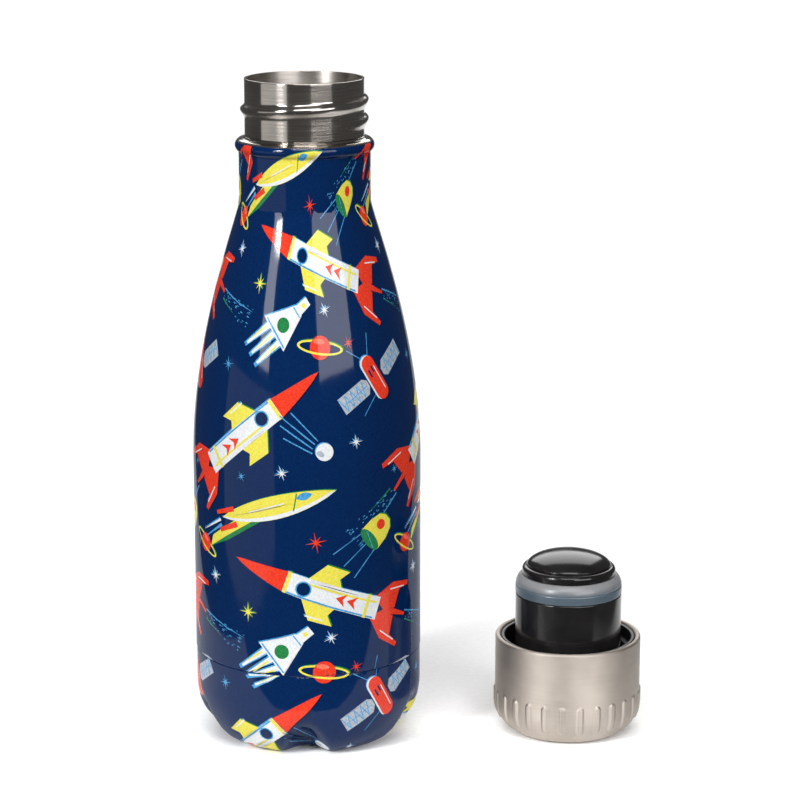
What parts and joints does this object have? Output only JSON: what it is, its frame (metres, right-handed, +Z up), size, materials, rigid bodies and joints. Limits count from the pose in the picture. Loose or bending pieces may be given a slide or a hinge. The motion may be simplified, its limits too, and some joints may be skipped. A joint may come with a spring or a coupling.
{
  "type": "kids water bottle",
  "caption": "Small double-walled steel bottle with a lobed base, screw neck and printed lacquer, its fluted steel stopper standing beside it.",
  "frame": {"origin": "centre of the bottle's feet, on the surface that it stands on", "axes": "+Z up along the bottle's axis, out of its mouth; +X towards the stopper standing beside it; a valley of the base faces -Y, the front"},
  "size_m": [0.1293, 0.065, 0.1898],
  "materials": {
    "lacquer": "gloss navy lacquer over steel with a printed pattern",
    "lacquer_base": "gloss navy lacquer over steel with a printed pattern",
    "polished_steel": "polished outside, fine brushed bore",
    "flask_steel": "electropolished",
    "foil": "bright copper foil",
    "getter": "pressed grey powder",
    "clip_steel": "bright strip",
    "solder_glass": "melted bead",
    "cover": "gloss navy lacquer",
    "satin_steel": "satin brushed",
    "black_liner": "moulded",
    "black_plug": "moulded, gloss",
    "silicone": "translucent grey-blue silicone",
    "foam": "closed-cell foam"
  },
  "bodies": {
    "bottle": {"outer_shell": "lacquer", "base_cup": "lacquer_base", "inner_flask": "polished_steel", "flask_bottom": "flask_steel", "heat_foil": "foil", "getter_clip": "clip_steel", "getter_pill": "getter", "vacuum_seal": "solder_glass", "seal_cover": "cover"},
    "swing_carrier": {"foam_disc_swing": "foam"},
    "screw_carrier": {"foam_disc_screw": "foam"},
    "plug": {"plug_tube": "black_plug", "seal_ring": "silicone", "plug_end": "black_plug", "foam_core": "foam"},
    "cap": {"cap_shell": "satin_steel", "cap_liner": "black_liner", "top_foam": "foam"}
  },
  "joints": [
    {"name": "cap_swing", "type": "hinge", "parent": "bottle", "child": "swing_carrier", "pos_m": [0.0377, 0, 0.12335], "axis": [0, -1, 0], "range_deg": [0, 180]},
    {"name": "cap_lower", "type": "slide", "parent": "swing_carrier", "child": "screw_carrier", "axis": [0, 0, 1], "range_m": [0, 0.0343]},
    {"name": "cap_screw", "type": "slide", "parent": "screw_carrier", "child": "plug", "axis": [0, 0, 1], "range_m": [0, 0.0106]},
    {"name": "cap_turn", "type": "hinge", "parent": "plug", "child": "cap", "pos_m": [0.0754, 0, 0], "axis": [0, 0, 1], "range_deg": [0, 720]}
  ],
  "couplings": [
    {"joint": "cap_turn", "follows": "cap_screw", "rad_per_m": 1185.5}
  ]
}
